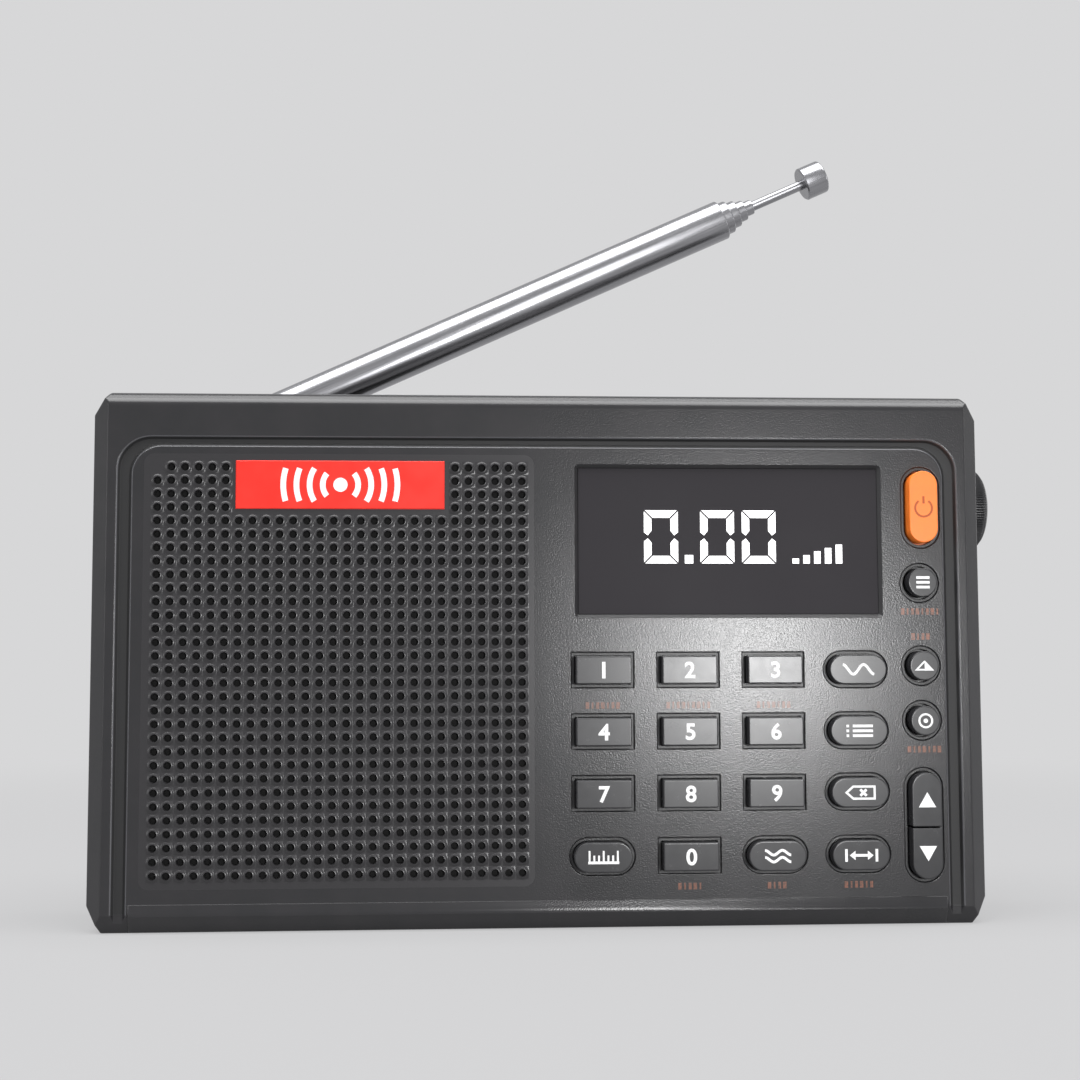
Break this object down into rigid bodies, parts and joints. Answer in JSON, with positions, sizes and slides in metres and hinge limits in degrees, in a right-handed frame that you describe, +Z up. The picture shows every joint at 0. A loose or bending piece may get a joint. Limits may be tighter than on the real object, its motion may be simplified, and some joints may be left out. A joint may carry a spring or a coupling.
{
  "type": "tabletop radio",
  "caption": "Slim moulded world-band radio on its long edge: dimpled speaker grille, display, sprung keypad, side tuning knob, telescopic antenna and rear stand.",
  "frame": {"origin": "middle of the case's base, halfway between its front and rear faces", "axes": "+X to the right of someone facing the dial, +Y to the rear, +Z up"},
  "size_m": [0.1631, 0.0302, 0.1444],
  "materials": {
    "case_plastic": "fine moulded grain, satin",
    "grille_plastic": "fine moulded grain, satin",
    "key_plastic": "smooth, satin",
    "power_plastic": "smooth, satin",
    "plate_red": "smooth, satin",
    "lens_acrylic": "tinted, polished",
    "lcd_glass": "smooth",
    "inner_plastic": "plain moulded",
    "silicone": "matt",
    "board_green": "solder mask",
    "cloth": "woven",
    "cone_paper": "pressed paper",
    "magnet_steel": "zinc plated",
    "ferrite": "sintered",
    "copper_wire": "enamelled winding",
    "contact_metal": "gold flashed",
    "socket_metal": "pressed",
    "cell_wrap": "plain sleeve",
    "chrome": "polished",
    "screw_steel": "blackened"
  },
  "bodies": {
    "case": {"front_case": "case_plastic", "rear_case": "case_plastic", "speaker_grille": "grille_plastic", "name_plate": "plate_red", "case_screws": "screw_steel", "pcb_screws": "screw_steel", "grille_cloth": "cloth", "speaker_frame": "magnet_steel", "speaker_cone": "cone_paper", "speaker_magnet": "magnet_steel", "display_lens": "lens_acrylic", "lcd_panel": "lcd_glass", "lcd_frame": "inner_plastic", "main_pcb": "board_green", "key_mat": "silicone", "ferrite_rod": "ferrite", "ferrite_coil": "copper_wire", "earphone_jack": "inner_plastic", "dc_socket": "socket_metal", "battery_contacts": "contact_metal", "encoder_body": "inner_plastic"},
    "knob": {"side_knob": "key_plastic", "encoder_shaft": "socket_metal"},
    "battery_door": {"battery_door": "case_plastic"},
    "battery": {"battery": "cell_wrap"},
    "kickstand": {"kickstand": "case_plastic"},
    "turret": {"antenna_turret": "chrome", "turret_screw": "socket_metal", "elbow_pin": "socket_metal"},
    "antenna_base": {"antenna_tongue": "chrome", "antenna_tube_1": "chrome"},
    "tube_2": {"antenna_tube_2": "chrome"},
    "tube_3": {"antenna_tube_3": "chrome"},
    "tube_4": {"antenna_tube_4": "chrome"},
    "tube_5": {"antenna_tube_5": "chrome"},
    "tip": {"antenna_rod": "chrome", "antenna_cap": "chrome"},
    "key_0_cap": {"key_0": "key_plastic"},
    "key_1_cap": {"key_1": "key_plastic"},
    "key_2_cap": {"key_2": "key_plastic"},
    "key_3_cap": {"key_3": "key_plastic"},
    "key_4_cap": {"key_4": "key_plastic"},
    "key_5_cap": {"key_5": "key_plastic"},
    "key_6_cap": {"key_6": "key_plastic"},
    "key_7_cap": {"key_7": "key_plastic"},
    "key_8_cap": {"key_8": "key_plastic"},
    "key_9_cap": {"key_9": "key_plastic"},
    "key_band_cap": {"key_band": "key_plastic"},
    "key_memory_cap": {"key_memory": "key_plastic"},
    "key_delete_cap": {"key_delete": "key_plastic"},
    "key_bandwidth_cap": {"key_bandwidth": "key_plastic"},
    "key_frequency_cap": {"key_frequency": "key_plastic"},
    "key_mode_cap": {"key_mode": "key_plastic"},
    "key_menu_cap": {"key_menu": "key_plastic"},
    "key_sideband_cap": {"key_sideband": "key_plastic"},
    "key_info_cap": {"key_info": "key_plastic"},
    "key_up_cap": {"key_up": "key_plastic"},
    "key_down_cap": {"key_down": "key_plastic"},
    "power_key_cap": {"power_key": "power_plastic"}
  },
  "joints": [
    {"name": "key_0_press", "type": "slide", "parent": "case", "child": "key_0_cap", "axis": [0, 1, 0], "range_m": [0, 0.0008], "stiffness_N_per_m": 300, "springref_m": -0.0006},
    {"name": "key_1_press", "type": "slide", "parent": "case", "child": "key_1_cap", "axis": [0, 1, 0], "range_m": [0, 0.0008], "stiffness_N_per_m": 300, "springref_m": -0.0006},
    {"name": "key_2_press", "type": "slide", "parent": "case", "child": "key_2_cap", "axis": [0, 1, 0], "range_m": [0, 0.0008], "stiffness_N_per_m": 300, "springref_m": -0.0006},
    {"name": "key_3_press", "type": "slide", "parent": "case", "child": "key_3_cap", "axis": [0, 1, 0], "range_m": [0, 0.0008], "stiffness_N_per_m": 300, "springref_m": -0.0006},
    {"name": "key_4_press", "type": "slide", "parent": "case", "child": "key_4_cap", "axis": [0, 1, 0], "range_m": [0, 0.0008], "stiffness_N_per_m": 300, "springref_m": -0.0006},
    {"name": "key_5_press", "type": "slide", "parent": "case", "child": "key_5_cap", "axis": [0, 1, 0], "range_m": [0, 0.0008], "stiffness_N_per_m": 300, "springref_m": -0.0006},
    {"name": "key_6_press", "type": "slide", "parent": "case", "child": "key_6_cap", "axis": [0, 1, 0], "range_m": [0, 0.0008], "stiffness_N_per_m": 300, "springref_m": -0.0006},
    {"name": "key_7_press", "type": "slide", "parent": "case", "child": "key_7_cap", "axis": [0, 1, 0], "range_m": [0, 0.0008], "stiffness_N_per_m": 300, "springref_m": -0.0006},
    {"name": "key_8_press", "type": "slide", "parent": "case", "child": "key_8_cap", "axis": [0, 1, 0], "range_m": [0, 0.0008], "stiffness_N_per_m": 300, "springref_m": -0.0006},
    {"name": "key_9_press", "type": "slide", "parent": "case", "child": "key_9_cap", "axis": [0, 1, 0], "range_m": [0, 0.0008], "stiffness_N_per_m": 300, "springref_m": -0.0006},
    {"name": "key_band_press", "type": "slide", "parent": "case", "child": "key_band_cap", "axis": [0, 1, 0], "range_m": [0, 0.0008], "stiffness_N_per_m": 300, "springref_m": -0.0006},
    {"name": "key_memory_press", "type": "slide", "parent": "case", "child": "key_memory_cap", "axis": [0, 1, 0], "range_m": [0, 0.0008], "stiffness_N_per_m": 300, "springref_m": -0.0006},
    {"name": "key_delete_press", "type": "slide", "parent": "case", "child": "key_delete_cap", "axis": [0, 1, 0], "range_m": [0, 0.0008], "stiffness_N_per_m": 300, "springref_m": -0.0006},
    {"name": "key_bandwidth_press", "type": "slide", "parent": "case", "child": "key_bandwidth_cap", "axis": [0, 1, 0], "range_m": [0, 0.0008], "stiffness_N_per_m": 300, "springref_m": -0.0006},
    {"name": "key_frequency_press", "type": "slide", "parent": "case", "child": "key_frequency_cap", "axis": [0, 1, 0], "range_m": [0, 0.0008], "stiffness_N_per_m": 300, "springref_m": -0.0006},
    {"name": "key_mode_press", "type": "slide", "parent": "case", "child": "key_mode_cap", "axis": [0, 1, 0], "range_m": [0, 0.0008], "stiffness_N_per_m": 300, "springref_m": -0.0006},
    {"name": "key_menu_press", "type": "slide", "parent": "case", "child": "key_menu_cap", "axis": [0, 1, 0], "range_m": [0, 0.0008], "stiffness_N_per_m": 300, "springref_m": -0.0006},
    {"name": "key_sideband_press", "type": "slide", "parent": "case", "child": "key_sideband_cap", "axis": [0, 1, 0], "range_m": [0, 0.0008], "stiffness_N_per_m": 300, "springref_m": -0.0006},
    {"name": "key_info_press", "type": "slide", "parent": "case", "child": "key_info_cap", "axis": [0, 1, 0], "range_m": [0, 0.0008], "stiffness_N_per_m": 300, "springref_m": -0.0006},
    {"name": "key_up_press", "type": "slide", "parent": "case", "child": "key_up_cap", "axis": [0, 1, 0], "range_m": [0, 0.0008], "stiffness_N_per_m": 300, "springref_m": -0.0006},
    {"name": "key_down_press", "type": "slide", "parent": "case", "child": "key_down_cap", "axis": [0, 1, 0], "range_m": [0, 0.0008], "stiffness_N_per_m": 300, "springref_m": -0.0006},
    {"name": "power_key_press", "type": "slide", "parent": "case", "child": "power_key_cap", "axis": [0, 1, 0], "range_m": [0, 0.0008], "stiffness_N_per_m": 300, "springref_m": -0.0006},
    {"name": "tuning_turn", "type": "hinge", "parent": "case", "child": "knob", "pos_m": [0.0792, 0, 0.0749], "axis": [1, 0, 0], "continuous": true},
    {"name": "stand_swing", "type": "hinge", "parent": "case", "child": "kickstand", "pos_m": [-0.035, 0.01295, 0.04385], "axis": [1, 0, 0], "range_deg": [0, 55]},
    {"name": "door_swing", "type": "hinge", "parent": "case", "child": "battery_door", "pos_m": [0.0343, 0.0131, 0.0127], "axis": [-1, 0, 0], "range_deg": [0, 90]},
    {"name": "battery_tilt", "type": "hinge", "parent": "case", "child": "battery", "pos_m": [0.0327, 0.012, 0.0134], "axis": [-1, 0, 0], "range_deg": [0, 22.5]},
    {"name": "antenna_raise", "type": "hinge", "parent": "case", "child": "turret", "pos_m": [-0.0589, 0.0093, 0.0895], "axis": [0, -1, 0], "range_deg": [-24.3, 110.7]},
    {"name": "antenna_fold", "type": "hinge", "parent": "turret", "child": "antenna_base", "pos_m": [-0.0589, 0.0093, 0.0895], "axis": [-0.4115, 0, 0.9114], "range_deg": [0, 90]},
    {"name": "tube_2_slide", "type": "slide", "parent": "antenna_base", "child": "tube_2", "axis": [0.9114, 0, 0.4115], "range_m": [0, 0.08]},
    {"name": "tube_3_slide", "type": "slide", "parent": "tube_2", "child": "tube_3", "axis": [0.9114, 0, 0.4115], "range_m": [0, 0.08]},
    {"name": "tube_4_slide", "type": "slide", "parent": "tube_3", "child": "tube_4", "axis": [0.9114, 0, 0.4115], "range_m": [0, 0.08]},
    {"name": "tube_5_slide", "type": "slide", "parent": "tube_4", "child": "tube_5", "axis": [0.9114, 0, 0.4115], "range_m": [0, 0.08]},
    {"name": "tip_slide", "type": "slide", "parent": "tube_5", "child": "tip", "axis": [0.9114, 0, 0.4115], "range_m": [-0.009, 0.08]}
  ],
  "couplings": [
    {"joint": "battery_tilt", "follows": "door_swing", "ratio": 0.25}
  ]
}
